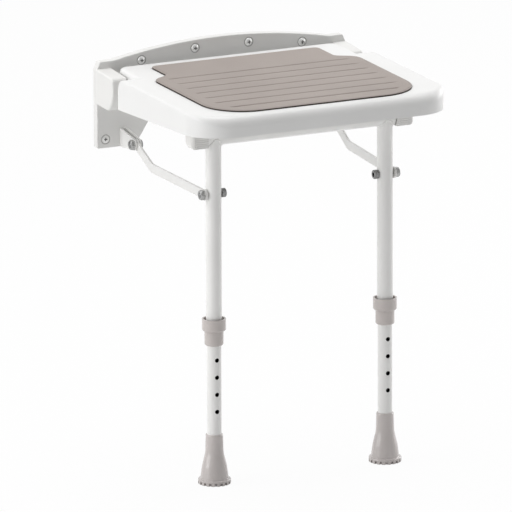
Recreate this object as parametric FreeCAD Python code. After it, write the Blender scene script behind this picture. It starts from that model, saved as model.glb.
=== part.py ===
"""Fold down wall seat: a moulded seat on a wall plate, with two adjustable legs.

Millimetres. X runs along the wall, to the right of a person who faces it. Y runs into the
wall, so the seat stands out along -Y. Z is up. The origin is on the wall plane, midway
along the plate and level with the seat's hinge.

The seat is stored open. Seat, legs, struts and wall plate are a four-bar linkage with equal
opposite sides, so the legs stay upright while the seat folds up against the wall.
"""

import FreeCAD, Part
import math
import os

os.makedirs("parts", exist_ok=True)

# Linkage, in the plane across the wall
hinge_out = 58.0            # wall to the seat's hinge axis
bar_out = 268.0             # wall to the leg axis and the bar under the seat
bar_drop = 26.0             # seat hinge down to the bar's axis
strut_drop = 81.0           # seat hinge down to the strut pivot, and bar down to the leg bolt
floor_drop = 528.0          # seat hinge down to the floor, legs at their longest

# Wall plate
plate_inset = 2.5           # plate's side inside the seat's side
plate_depth = 12.0
plate_sheet = 2.5
plate_bend = 1.5
plate_rise = 50.5           # hinge height up to the top of the arch
plate_foot = 94.0           # hinge height down to the plate's lower edge
shoulder_rise = 32.7
shoulder_slant = 5.0        # the slanted end of each shoulder, across
shoulder_fall = 11.7        # and down
shoulder_length = 21.1      # level part of each shoulder
shoulder_corner = 2.0
plate_corner = 4.0          # lower corner of the slanted end
plate_foot_corner = 3.0
web_drop = 24.0             # hinge height down to the lower edge of the cross member
leg_foot_width = 60.0       # plate leg, at its lower edge
leg_waist_width = 104.5     # plate leg, at the cross member
web_corner = 26.0

# Screws to the wall
screw_pitch = 84.0
screw_edge = 12.0           # arch screws, in from the arch's edge
low_screw_edge = 13.0       # low screws, in from the plate's side
low_screw_rise = 13.0       # and up from its lower edge
screw_shank = 6.0
screw_thread = 5.0
screw_reach = 14.0          # thread shown past the wall plane
screw_head = 11.0
screw_head_rise = 2.6
screw_recess = 4.4          # across the recess in the head
screw_recess_floor = 1.0    # its floor, above the plate's face
low_recess_depth = 1.6      # and in the sunk heads
screw_play = 0.3
stand_off = 14.0

# Hinge lugs
lug_outer_inset = 1.0       # lug face inside the seat's side
lug_width = 22.5
lug_rise = 22.5
lug_drop = 29.0
lug_out = 57.7              # plate face to the lug's nose
lug_nose_bulge = 3.0
lug_nose_radius = 38.0
lug_nose_drop = 7.25        # centre of the bulge, under the hinge
lug_brow = 6.0              # radius over the nose
lug_brow_drop = 2.6
lug_heel = 17.0
lug_heel_back = 14.45       # heel's corner, back from the nose
lug_heel_sag = 0.6
lug_edge = 3.0
lug_screw = 5.0
lug_screw_rise = 14.0
lug_screw_drop = 16.0
lug_screw_grip = 16.0
lug_screw_head = 9.0
lug_screw_head_height = 3.0

# Hinge pins and bushes
pin_size = 8.0
pin_in_lug = 17.0
bush_wall = 2.0
bush_length = 24.0
bush_flange = 1.5
pin_short = 2.0             # pin's tip, short of the bush's inner end
pin_chamfer = 1.0
bush_flange_size = 17.0
running = 0.06              # radial clearance of every running fit

# Seat shell
seat_width = 396.0
seat_front = 367.0          # wall to the seat's front face
seat_rear = 26.0            # wall to the neck's rear edge
seat_top = 27.0             # above the hinge
seat_corner = 56.0
seat_edge = 4.0             # rim of the top, at the sides and round the corners
seat_brow = 17.0            # rounding of the top down into the front face
skirt_drop_rear = 19.0      # skirt's lower edge under the hinge, at the arms' rear end
skirt_drop_front = 2.0
arm_rear = 89.0             # wall to the arms' rear ends
neck_gap = 2.5              # neck to lug, each side
neck_corner = 15.0
neck_edge = 7.0
arm_round = 18.0            # rounded upper rear edge of each arm
belly_depth = 9.0           # underside inside the skirt, up from the skirt's edge
skirt_side = 24.0
skirt_front = 22.0
belly_corner = 5.0
belly_break = 6.0           # the belly starts to rise behind the arms' rear ends
tail_rise = 14.0            # underside of the neck, raised towards the wall
channel_count = 5
channel_width = 14.0
channel_depth = 7.0
channel_pitch = 54.0
channel_corner = 5.0
channel_front = 18.0        # channel's end, behind the front skirt
channel_rear = 10.0         # and ahead of the arms' rear ends

# Mat
mat_thick = 4.5
mat_seat = 1.5              # depth of its recess in the seat
mat_gap = 0.8
mat_side = 38.0             # seat's side to the mat's
mat_rear_side = 40.5        # neck's side to the mat's narrow part
mat_front = 349.5           # wall to the mat's front edge
mat_rear = 52.5
mat_step_start = 109.7      # wall to the start of the step in the mat's side
mat_step_end = 125.3
mat_step_inner = 12.0       # radii of the step, hollow and full
mat_step_outer = 24.0
mat_corner = 63.0
mat_rear_corner = 9.0
mat_edge = 2.0
groove_count = 7
groove_first = 136.0        # wall to the first groove
groove_pitch = 30.6
groove_depth = 1.5
groove_radius = 2.5
groove_inset = 20.0

# Bar, bearing blocks and journals
bar_size = 22.0
bar_wall = 1.5
bar_over = 12.0             # bar past each leg axis
journal_size = 12.0
journal_spigot = 18.0
journal_short = 0.5         # journal's tip, short of the bore's end
block_inset = 25.0          # block's outer face inside the seat's side
block_gap = 1.5             # bar end to block
block_width = 26.0
block_front = 14.0          # bar axis to the block's faces
block_rear = 13.0
block_under = 11.7
block_round = 12.0
block_edge = 6.5
block_nose = 3.0            # lower front edge
block_end_wall = 3.0
block_screw = 4.0
block_screw_grip = 14.0
block_screw_offset = 9.0    # either side of the bar's axis
block_screw_head = 7.5
block_screw_head_height = 2.5
block_screw_sink = 6.0      # block's lower face up to the head's seat

# Legs
upper_size = 22.5
upper_wall = 0.9
lower_wall = 1.2
hole_pitch = 25.0
hole_count = 6
hole_size = 6.4
lock_drop = 297.0           # seat hinge down to the lock button
lower_top_drop = 240.0

# Collars
collar_cup_size = 34.0
collar_cup_wall = 2.2
collar_cup_over = 9.2       # cup's rim above the lock button
collar_cup_height = 17.4
collar_neck_size = 27.0
collar_height = 38.5
collar_lip = 3.0
collar_edge = 2.5

# Lock springs
spring_strip = 7.0
spring_thick = 0.8
spring_length = 36.0
spring_gap = 0.01           # strip to tube wall
button_size = 6.1
button_stand = 2.6
button_nose = 1.2
spring_rise = 8.0           # strip's upper ends, above the button
spring_bend = 0.5           # the bend is this much tighter than half round

# Feet
foot_height = 72.0
foot_neck_size = 24.6
foot_body_size = 39.4
foot_flange_size = 46.5
foot_flange = 7.5
foot_floor = 8.0
foot_edge = 1.0
foot_flange_edge = 1.5
foot_ledge = 0.5            # flange's top, in to the body
foot_waist = 2.0            # body's radius, in at the waist
foot_waist_share = 0.36     # waist's height, of the foot's
foot_throat = 0.7           # neck's radius, out at the throat
foot_throat_share = 0.62
foot_lip = 1.5
foot_notches = 18
foot_notch_width = 3.6
foot_notch_depth = 3.0
foot_notch_height = 4.5
foot_flare = 30.0           # radius of the hollow curve above the flange
foot_shoulder = 50.0        # radius of the round curve above that
disc_thick = 1.5
disc_play = 0.2

# Struts and their pivots
bolt_size = 8.0
strut_width = 13.0
strut_thick = 3.0
strut_eye = 16.0
elbow_out = 49.5            # strut pivot out to the elbow
elbow_drop = 23.5           # and down
elbow_radius = 22.0
strut_lean = 22.0           # strut's wall end, outside the leg's axis
strut_pad = 15.0            # straight pad at each end, from the pivot
strut_set = 14.0            # radius of the sets that draw the strut in
washer_thick = 0.75
washer_size = 13.5
washer_play = 0.1
open_pivot = 0.3            # radial clearance at the leg bolt
ear_thick = 2.5
ear_nose = 7.5
ear_round = 7.35
ear_rise = 27.5             # ear's root, down to up, on the plate
ear_root_up = 14.5          # strut pivot up to the ear's upper root
nut_width = 13.0
nut_height = 5.5
nut_chamfer = 0.2           # chamfer's inner edge, inside the flats
bolt_end = 0.8
bolt_chamfer = 1.0
head_size = 13.0
head_height = 7.0
low_head_height = 3.0       # at the wall brackets
head_edge = 1.5
socket_width = 6.0
socket_share = 0.6          # socket's depth, of the head's height

# Worked out from the sizes above
hinge_y = -hinge_out
bar_y = -bar_out
bar_z = -bar_drop
leg_bolt_z = bar_z - strut_drop
strut_pivot_z = -strut_drop
plate_face = -plate_depth
seat_half = seat_width / 2
plate_half = seat_half - plate_inset
leg_waist_half = plate_half - leg_waist_width
arch_half = plate_half - shoulder_slant - shoulder_length
arch_height = plate_rise - shoulder_rise
arch_radius = (arch_half ** 2 + arch_height ** 2) / (2 * arch_height)
upper_radius = upper_size / 2
lower_radius = upper_radius - upper_wall - running
bolt_radius = bolt_size / 2
skirt_slope = (skirt_drop_rear - skirt_drop_front) / (seat_front - arm_rear)
lug_outer = seat_half - lug_outer_inset
lug_inner = lug_outer - lug_width
neck_half = lug_inner - neck_gap
mat_half = seat_half - mat_side
mat_rear_half = neck_half - mat_rear_side
block_outer = seat_half - block_inset
block_inner = block_outer - block_width
bar_half = block_inner - block_gap
leg_x = bar_half - bar_over
strut_rear_x = leg_x + strut_lean
collar_top = -lock_drop + collar_cup_over
collar_bottom = collar_top - collar_height
strut_front_x = leg_x + upper_radius + washer_thick + washer_play + strut_thick / 2

AXIS_X = FreeCAD.Vector(1, 0, 0)
AXIS_Y = FreeCAD.Vector(0, 1, 0)
AXIS_Z = FreeCAD.Vector(0, 0, 1)
ORIGIN = FreeCAD.Vector(0, 0, 0)


def box(x0, x1, y0, y1, z0, z1):
    """A block between six planes."""
    return Part.makeBox(x1 - x0, y1 - y0, z1 - z0, FreeCAD.Vector(x0, y0, z0))


def rod(radius, start, end, direction, place):
    """A round bar along one axis, from start to end on that axis, through place."""
    foot = FreeCAD.Vector(*place) + direction * start
    return Part.makeCylinder(radius, end - start, foot, direction)


def ring(outer, inner, start, end, direction, place):
    """A round bar with a bore."""
    bore = rod(inner, start - 1, end + 1, direction, place)
    return rod(outer, start, end, direction, place).cut(bore)


def rounded_face(corners, lift):
    """A flat face from (u, v, radius) corners. lift turns u and v into a point in space."""
    edges = []
    ends = []
    count = len(corners)
    for i, (u, v, radius) in enumerate(corners):
        here = FreeCAD.Vector(u, v, 0)
        before = FreeCAD.Vector(*corners[i - 1][:2], 0) - here
        after = FreeCAD.Vector(*corners[(i + 1) % count][:2], 0) - here
        before.normalize()
        after.normalize()
        if radius <= 0:
            ends.append((here, None, here))
            continue
        half = math.acos(max(-1.0, min(1.0, before * after))) / 2
        reach = radius / math.tan(half)
        middle = before + after
        middle.normalize()
        centre = here + middle * (radius / math.sin(half))
        ends.append((here + before * reach, centre - middle * radius, here + after * reach))
    for i, (start, mid, end) in enumerate(ends):
        if mid is not None:
            points = [lift(p.x, p.y) for p in (start, mid, end)]
            edges.append(Part.Arc(*points).toShape())
        following = ends[(i + 1) % count][0]
        if (following - end).Length > 1e-4:
            edges.append(Part.LineSegment(lift(end.x, end.y), lift(following.x, following.y)).toShape())
    return Part.Face(Part.Wire(edges))


def on_plan(z):
    """Lift plan coordinates X, Y to height z."""
    return lambda u, v: FreeCAD.Vector(u, v, z)


def on_front(y):
    """Lift X, Z coordinates to depth y."""
    return lambda u, v: FreeCAD.Vector(u, y, v)


def on_side(x):
    """Lift Y, Z coordinates to the plane at x."""
    return lambda u, v: FreeCAD.Vector(x, u, v)


def slab(corners, lift, along):
    """A rounded face drawn out along a vector."""
    return rounded_face(corners, lift).extrude(along)


def mirrored_x(shape):
    """The same piece for the other side."""
    return shape.mirror(ORIGIN, AXIS_X)


def both_sides(shape):
    """A piece and its mirror image, as separate solids."""
    return Part.makeCompound([shape, mirrored_x(shape)])


def save(name, shape):
    """Write one sub-part, and say how many solids it has."""
    shape.exportStep("parts/" + name + ".step")
    print(name, len(shape.Solids), "solid", round(shape.Volume / 1000, 2), "cm3", shape.isValid())


def edges_where(shape, test):
    """The edges whose middle point and direction pass a test."""
    chosen = []
    for edge in shape.Edges:
        middle = edge.valueAt((edge.FirstParameter + edge.LastParameter) / 2)
        if test(edge, middle):
            chosen.append(edge)
    return chosen


def skirt_height(y):
    """Height of the skirt's lower edge, which rises towards the front."""
    return -skirt_drop_rear + (-arm_rear - y) * skirt_slope


# Wall plate


def arch_screw_places():
    """Centres of the four screws that follow the arch."""
    centre_z = plate_rise - arch_radius
    radius = arch_radius - screw_edge
    places = []
    for step in (-1.5, -0.5, 0.5, 1.5):
        x = step * screw_pitch
        places.append((x, centre_z + math.sqrt(radius ** 2 - x ** 2)))
    return places


def low_screw_places():
    """Centres of the screw near the foot of each plate leg."""
    x = plate_half - low_screw_edge
    return [(side * x, low_screw_rise - plate_foot) for side in (-1, 1)]


def plate_outline():
    """Arched top, short shoulders with slanted ends, and two legs that taper inwards."""
    half = plate_half
    arch_slope = arch_half / math.sqrt(arch_radius ** 2 - arch_half ** 2)
    apex = shoulder_rise + arch_half * arch_slope
    right = [
        (arch_half, shoulder_rise, 0),
        (half - shoulder_slant, shoulder_rise, shoulder_corner),
        (half, shoulder_rise - shoulder_fall, plate_corner),
        (half, -plate_foot, plate_foot_corner),
        (half - leg_foot_width, -plate_foot, plate_foot_corner),
        (leg_waist_half, -web_drop, web_corner),
    ]
    left = [(-x, z, radius) for x, z, radius in reversed(right)]
    return [(0, apex, arch_radius)] + right + left


def wall_plate():
    """A pressed tray, open towards the wall, with a tube behind each fixing screw."""
    outline = rounded_face(plate_outline(), on_front(0))
    tray = outline.extrude(AXIS_Y * plate_face)
    rim = edges_where(tray, lambda edge, middle: abs(middle.y - plate_face) < 0.01)
    tray = tray.makeFillet(plate_bend, rim)
    pocket = outline.makeOffset2D(-plate_sheet)
    tray = tray.cut(pocket.extrude(AXIS_Y * (plate_face + plate_sheet)))
    hole = screw_shank / 2 + screw_play
    for x, z in arch_screw_places() + low_screw_places():
        tray = tray.fuse(rod(stand_off / 2, plate_face + 1, 0, AXIS_Y, (x, 0, z)))
        tray = tray.cut(rod(hole, plate_face - 1, 1, AXIS_Y, (x, 0, z)))
    for x, z in low_screw_places():
        sink = Part.makeCone(
            screw_head / 2 + screw_play, hole, screw_head / 2 - hole + screw_play,
            FreeCAD.Vector(x, plate_face, z), AXIS_Y,
        )
        tray = tray.cut(sink)
    for side in (-1, 1):
        for z in (lug_screw_rise, -lug_screw_drop):
            place = (side * (lug_inner + lug_width / 2), 0, z)
            tray = tray.cut(rod(lug_screw / 2 + screw_play, plate_face - 1, 1, AXIS_Y, place))
    return tray.removeSplitter()


def wall_screws():
    """Four round heads on the arch and two sunk heads low down. The thread starts at the wall."""
    solids = []
    dome_radius = (screw_head ** 2 / 4 + screw_head_rise ** 2) / (2 * screw_head_rise)
    for x, z in arch_screw_places():
        centre = FreeCAD.Vector(x, plate_face - screw_head_rise + dome_radius, z)
        keep = rod(screw_head / 2 + 1, plate_face - screw_head_rise - 1, plate_face, AXIS_Y, (x, 0, z))
        head = Part.makeSphere(dome_radius, centre).common(keep)
        floor = plate_face - screw_recess_floor
        recess = rod(screw_recess / 2, plate_face - screw_head_rise - 1, floor, AXIS_Y, (x, 0, z))
        shank = rod(screw_shank / 2, plate_face, 0, AXIS_Y, (x, 0, z))
        thread = rod(screw_thread / 2, 0, screw_reach, AXIS_Y, (x, 0, z))
        solids.append(head.cut(recess).fuse(shank).fuse(thread))
    for x, z in low_screw_places():
        depth = (screw_head - screw_shank) / 2
        place = FreeCAD.Vector(x, plate_face, z)
        head = Part.makeCone(screw_head / 2, screw_shank / 2, depth, place, AXIS_Y)
        floor = plate_face + low_recess_depth
        recess = rod(screw_recess / 2, plate_face - 1, floor, AXIS_Y, (x, 0, z))
        shank = rod(screw_shank / 2, plate_face, 0, AXIS_Y, (x, 0, z))
        thread = rod(screw_thread / 2, 0, screw_reach, AXIS_Y, (x, 0, z))
        solids.append(head.fuse(shank).fuse(thread).cut(recess))
    return Part.makeCompound(solids)


# Hinge lugs, pins and bushes


def hinge_lug():
    """Right lug: flat against the plate, blunt bulged nose, large round heel, bored for the pin."""
    nose = plate_face - lug_out
    profile = [
        (plate_face, -lug_drop, 0),
        (nose + lug_heel_back, -lug_drop - lug_heel_sag, lug_heel),
        (nose, -lug_nose_drop, lug_nose_radius),
        (nose + lug_nose_bulge, lug_rise - lug_brow_drop, lug_brow),
        (plate_face, lug_rise, 0),
    ]
    body = slab(profile, on_side(lug_inner), AXIS_X * lug_width)
    front = edges_where(
        body,
        lambda edge, middle: middle.y < plate_face - 1
        and (abs(middle.x - lug_outer) < 0.01),
    )
    body = body.makeFillet(lug_edge, front)
    body = body.cut(rod(pin_size / 2, lug_inner - 1, lug_inner + pin_in_lug, AXIS_X, (0, hinge_y, 0)))
    for z in (lug_screw_rise, -lug_screw_drop):
        place = (lug_inner + lug_width / 2, 0, z)
        body = body.cut(rod(lug_screw / 2, plate_face - lug_screw_grip, plate_face + 1, AXIS_Y, place))
    return body


def lug_screws():
    """Two screws to each lug, driven from inside the tray."""
    solids = []
    seat = plate_face + plate_sheet
    for side in (-1, 1):
        for z in (lug_screw_rise, -lug_screw_drop):
            place = (side * (lug_inner + lug_width / 2), 0, z)
            shank = rod(lug_screw / 2, plate_face - lug_screw_grip, seat, AXIS_Y, place)
            head = rod(lug_screw_head / 2, seat, seat + lug_screw_head_height, AXIS_Y, place)
            solids.append(shank.fuse(head))
    return Part.makeCompound(solids)


def hinge_pin():
    """Right pin: pressed into the lug, and turning in the bush in the seat."""
    start = neck_half - bush_length + pin_short
    pin = rod(pin_size / 2, start, lug_inner + pin_in_lug, AXIS_X, (0, hinge_y, 0))
    tip = edges_where(pin, lambda edge, middle: abs(middle.x - start) < 0.01)
    return pin.makeChamfer(pin_chamfer, tip)


def hinge_bush():
    """Right bush: flanged, pressed into the side of the seat's neck."""
    place = (0, hinge_y, 0)
    inner = pin_size / 2 + running
    sleeve = ring(pin_size / 2 + bush_wall, inner, neck_half - bush_length, neck_half, AXIS_X, place)
    flange = ring(bush_flange_size / 2, inner, neck_half, neck_half + bush_flange, AXIS_X, place)
    return sleeve.fuse(flange).removeSplitter()


# Seat


def seat_body():
    """The shell before the underside is cut: a wide front part, and a neck towards the wall."""
    low = -skirt_drop_rear - 4
    ahead = -arm_rear - 2 * arm_round
    main = [
        (seat_half, -arm_rear, 0),
        (seat_half, -seat_front, seat_corner),
        (-seat_half, -seat_front, seat_corner),
        (-seat_half, -arm_rear, 0),
    ]
    front = brow_round(slab(main, on_plan(low), AXIS_Z * (seat_top - low)))
    profile = [
        (-seat_front, low, 0),
        (-arm_rear, low, 0),
        (-arm_rear, seat_top, arm_round),
        (-seat_front, seat_top, 0),
    ]
    front = front.common(slab(profile, on_side(-seat_half), AXIS_X * seat_width))
    narrow = [
        (neck_half, -seat_rear, neck_corner),
        (neck_half, ahead, 0),
        (-neck_half, ahead, 0),
        (-neck_half, -seat_rear, neck_corner),
    ]
    return front.fuse(rounded_slab(narrow, low, seat_top, neck_edge, ahead))


def brow_round(body):
    """Round the rim of the seat's top: little at the sides, and growing round the front corners."""
    radii = []
    for number, edge in enumerate(body.Edges, 1):
        ends = [edge.firstVertex(True).Point, edge.lastVertex(True).Point]
        on_top = all(abs(end.z - seat_top) < 0.01 for end in ends)
        if on_top and any(abs(end.y + arm_rear) > 0.01 for end in ends):
            at_front = [abs(end.y + seat_front) < 0.01 for end in ends]
            radii.append((number, *(seat_brow if front else seat_edge for front in at_front)))
    document = FreeCAD.newDocument()
    base = document.addObject("Part::Feature")
    base.Shape = body
    fillet = document.addObject("Part::Fillet")
    fillet.Base = base
    fillet.Edges = radii
    document.recompute()
    return fillet.Shape.copy()


def rounded_slab(corners, low, top, radius, open_y):
    """A plan drawn up from low to top, rounded all round the top but for the edge at open_y."""
    body = slab(corners, on_plan(low), AXIS_Z * (top - low))
    rim = edges_where(
        body, lambda edge, middle: abs(middle.z - top) < 0.01 and abs(middle.y - open_y) > 0.01
    )
    return body.makeFillet(radius, rim)


def seat_shell():
    """Moulded seat: skirt at the sides and front, raised belly with stiffening channels."""
    body = seat_body()
    far = seat_front + 20
    low = -skirt_drop_rear - 40
    under = [
        (0, low, 0),
        (0, skirt_height(0), 0),
        (-far, skirt_height(-far), 0),
        (-far, low, 0),
    ]
    body = body.cut(slab(under, on_side(-seat_half - 5), AXIS_X * (seat_width + 10)))
    belly_y = -seat_front + skirt_front
    neck_y = -arm_rear + belly_break
    belly = [
        (0, low, 0),
        (0, skirt_height(0) + belly_depth + tail_rise, 0),
        (neck_y, skirt_height(neck_y) + belly_depth, 0),
        (belly_y, skirt_height(belly_y) + belly_depth, belly_corner),
        (belly_y, low, 0),
    ]
    half = seat_half - skirt_side
    body = body.cut(slab(belly, on_side(-half), AXIS_X * (2 * half)))
    for i in range(channel_count):
        x = (i - (channel_count - 1) / 2) * channel_pitch
        body = body.cut(seat_channel(x))
    body = body.cut(mat_solid(mat_gap, seat_top - mat_seat, 10))
    for side in (-1, 1):
        start = neck_half - bush_length
        bore = rod(pin_size / 2 + bush_wall, start, neck_half + 1, AXIS_X * side, (0, hinge_y, 0))
        body = body.cut(bore)
        for y in block_screw_rows():
            top = block_top(y)
            place = (side * (block_inner + block_width / 2), y, 0)
            body = body.cut(rod(block_screw / 2, top - 1, top + block_screw_grip, AXIS_Z, place))
    return body.removeSplitter()


def seat_channel(x):
    """One stiffening channel in the belly, parallel to it."""
    front = -seat_front + skirt_front + channel_front
    rear = -arm_rear - channel_rear
    half = channel_width / 2
    section = [
        (front, skirt_height(front) + belly_depth - 5, 0),
        (front, skirt_height(front) + belly_depth + channel_depth, channel_corner),
        (rear, skirt_height(rear) + belly_depth + channel_depth, channel_corner),
        (rear, skirt_height(rear) + belly_depth - 5, 0),
    ]
    return slab(section, on_side(x - half), AXIS_X * channel_width)


# Mat


def mat_plan(grow=0.0):
    """Mat outline: narrow behind, a slanted step on each side, wide in front, big corners.

    Grown evenly by a distance, the step's two corners move along the sides by the shift.
    """
    slant = math.atan2(mat_step_end - mat_step_start, mat_half - mat_rear_half)
    shift = grow * math.tan(math.pi / 4 - slant / 2)
    right = [
        (mat_rear_half + grow, -mat_rear + grow, mat_rear_corner + grow),
        (mat_rear_half + grow, -mat_step_start + shift, mat_step_inner - grow),
        (mat_half + grow, -mat_step_end + shift, mat_step_outer + grow),
        (mat_half + grow, -mat_front - grow, mat_corner + grow),
    ]
    left = [(-x, y, radius) for x, y, radius in reversed(right)]
    return right + left


def mat_solid(grow, bottom, height):
    """The mat's outline drawn up from a height."""
    return slab(mat_plan(grow), on_plan(bottom), AXIS_Z * height)


def seat_mat():
    """Foam mat with a rounded rim and seven shallow grooves that stop short of its sides."""
    bottom = seat_top - mat_seat
    top = bottom + mat_thick
    body = mat_solid(0, bottom, mat_thick)
    rim = edges_where(body, lambda edge, middle: abs(middle.z - top) < 0.01)
    body = body.makeFillet(mat_edge, rim)
    reach = rounded_face(mat_plan(-groove_inset), on_plan(bottom)).extrude(AXIS_Z * 20)
    for i in range(groove_count):
        y = -groove_first - i * groove_pitch
        axis_z = top + groove_radius - groove_depth
        groove = rod(groove_radius, -mat_half, mat_half, AXIS_X, (0, y, axis_z))
        body = body.cut(groove.common(reach))
    return body


# Bar, blocks and journals


def crossbar():
    """Straight tube under the seat's front."""
    return ring(bar_size / 2, bar_size / 2 - bar_wall, -bar_half, bar_half, AXIS_X, (0, bar_y, bar_z))


def journal():
    """Right journal: a spigot pressed into the bar, and a smaller end that turns in the block."""
    place = (0, bar_y, bar_z)
    spigot = rod(bar_size / 2 - bar_wall, bar_half - journal_spigot, bar_half, AXIS_X, place)
    end = block_outer - block_end_wall - journal_short
    neck = rod(journal_size / 2, bar_half, end, AXIS_X, place)
    return spigot.fuse(neck)


def block_top(y):
    """Height of the belly over the block."""
    return skirt_height(y) + belly_depth


def block_screw_rows():
    """The screws stand in front of and behind the journal."""
    return [bar_y - block_screw_offset, bar_y + block_screw_offset]


def bearing_block():
    """Right block: flat front, large round at the lower rear, blind bore for the journal."""
    front = bar_y - block_front
    rear = bar_y + block_rear
    profile = [
        (front, bar_z - block_under, block_nose),
        (rear, bar_z - block_under, block_round),
        (rear, block_top(rear), 0),
        (front, block_top(front), 0),
    ]
    body = slab(profile, on_side(block_inner), AXIS_X * block_width)
    lower_outer = edges_where(
        body,
        lambda edge, middle: abs(middle.x - block_outer) < 0.01 and middle.z < bar_z + 10,
    )
    body = body.makeFillet(block_edge, lower_outer)
    place = (0, bar_y, bar_z)
    bore = rod(journal_size / 2 + running, block_inner - 1, block_outer - block_end_wall, AXIS_X, place)
    body = body.cut(bore)
    low = bar_z - block_under
    for y in block_screw_rows():
        screw = (block_inner + block_width / 2, y, 0)
        body = body.cut(rod(block_screw / 2 + screw_play, low - 1, block_top(front) + 1, AXIS_Z, screw))
        sink = block_screw_head / 2 + screw_play
        body = body.cut(rod(sink, low - 1, low + block_screw_sink, AXIS_Z, screw))
    return body


# Legs


def upper_leg():
    """Right upper leg: tube coped to the bar, drilled for the leg bolt and the lock button."""
    place = (leg_x, bar_y, 0)
    bottom = collar_bottom + collar_lip
    tube = ring(upper_radius, upper_radius - upper_wall, bottom, bar_z, AXIS_Z, place)
    tube = tube.cut(rod(bar_size / 2, leg_x - 30, leg_x + 30, AXIS_X, (0, bar_y, bar_z)))
    across = (0, bar_y, leg_bolt_z)
    tube = tube.cut(rod(bolt_radius + running, leg_x - 30, leg_x + 30, AXIS_X, across))
    button = (leg_x, 0, -lock_drop)
    return tube.cut(rod(hole_size / 2, bar_y - 20, bar_y, AXIS_Y, button))


def leg_collar():
    """Right collar: a narrow sleeve on the tube's end under an open cup round the lock button."""
    place = (leg_x, bar_y, 0)
    step = collar_top - collar_cup_height
    cup = rod(collar_cup_size / 2, step, collar_top, AXIS_Z, place)
    cup = cup.makeFillet(collar_edge, edges_where(cup, lambda e, m: abs(m.z - step) < 0.01))
    neck = rod(collar_neck_size / 2, collar_bottom, step + 3, AXIS_Z, place)
    foot = edges_where(neck, lambda e, m: abs(m.z - collar_bottom) < 0.01)
    neck = neck.makeFillet(collar_edge, foot)
    body = cup.fuse(neck)
    body = body.cut(rod(upper_radius, collar_bottom + collar_lip, collar_top + 1, AXIS_Z, place))
    body = body.cut(rod(lower_radius + running, collar_bottom - 1, collar_top, AXIS_Z, place))
    hollow = rod(collar_cup_size / 2 - collar_cup_wall, step + 3, collar_top + 1, AXIS_Z, place)
    return body.cut(hollow)


def lower_leg():
    """Right lower leg: tube with a row of height holes in its front."""
    place = (leg_x, bar_y, 0)
    bottom = -floor_drop + foot_floor + disc_thick
    tube = ring(lower_radius, lower_radius - lower_wall, bottom, -lower_top_drop, AXIS_Z, place)
    for i in range(hole_count):
        hole = (leg_x, 0, -lock_drop - i * hole_pitch)
        tube = tube.cut(rod(hole_size / 2, bar_y - 20, bar_y, AXIS_Y, hole))
    return tube


def lock_spring():
    """Right lock spring: a bent strip in the tube, with a button through both tubes."""
    inside = lower_radius - lower_wall - spring_gap
    half = spring_strip / 2
    chord = math.sqrt(inside ** 2 - half ** 2)
    top = -lock_drop + spring_rise
    low = top - spring_length
    bend = chord - spring_bend
    outer = [
        (bar_y - chord, top, 0),
        (bar_y - chord, low, bend),
        (bar_y + chord, low, bend),
        (bar_y + chord, top, 0),
        (bar_y + chord - spring_thick, top, 0),
        (bar_y + chord - spring_thick, low + spring_thick, bend - spring_thick),
        (bar_y - chord + spring_thick, low + spring_thick, bend - spring_thick),
        (bar_y - chord + spring_thick, top, 0),
    ]
    strip = slab(outer, on_side(leg_x - half), AXIS_X * spring_strip)
    tip = bar_y - upper_radius - button_stand
    button = rod(button_size / 2, tip, bar_y - chord + spring_thick, AXIS_Y, (leg_x, 0, -lock_drop))
    nose = edges_where(button, lambda e, m: abs(m.y - tip) < 0.01)
    return strip.fuse(button.makeFillet(button_nose, nose))


def foot():
    """Right foot: a flared rubber ferrule with a notched rim."""
    neck = foot_neck_size / 2
    body = foot_body_size / 2
    rim = foot_flange_size / 2
    base = -floor_drop
    top = base + foot_height
    profile = [
        (0, base, 0),
        (rim, base, foot_edge),
        (rim, base + foot_flange, foot_flange_edge),
        (body + foot_ledge, base + foot_flange, foot_edge),
        (body - foot_waist, base + foot_height * foot_waist_share, foot_flare),
        (neck + foot_throat, base + foot_height * foot_throat_share, foot_shoulder),
        (neck, top, foot_lip),
        (0, top, 0),
    ]
    turn = rounded_face(profile, on_front(0)).revolve(ORIGIN, AXIS_Z, 360)
    body_solid = turn.cut(rod(lower_radius, base + foot_floor, top + 1, AXIS_Z, (0, 0, 0)))
    for i in range(foot_notches):
        angle = 360.0 * (i + 0.5) / foot_notches
        notch = box(
            rim - foot_notch_depth, rim + 2,
            -foot_notch_width / 2, foot_notch_width / 2,
            base - 1, base + foot_notch_height,
        )
        notch.rotate(ORIGIN, AXIS_Z, angle)
        body_solid = body_solid.cut(notch)
    body_solid.translate(FreeCAD.Vector(leg_x, bar_y, 0))
    return body_solid


def foot_disc():
    """Right foot's steel disc, under the tube's end."""
    start = -floor_drop + foot_floor
    return rod(lower_radius - disc_play, start, start + disc_thick, AXIS_Z, (leg_x, bar_y, 0))


# Struts and pivots


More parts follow.
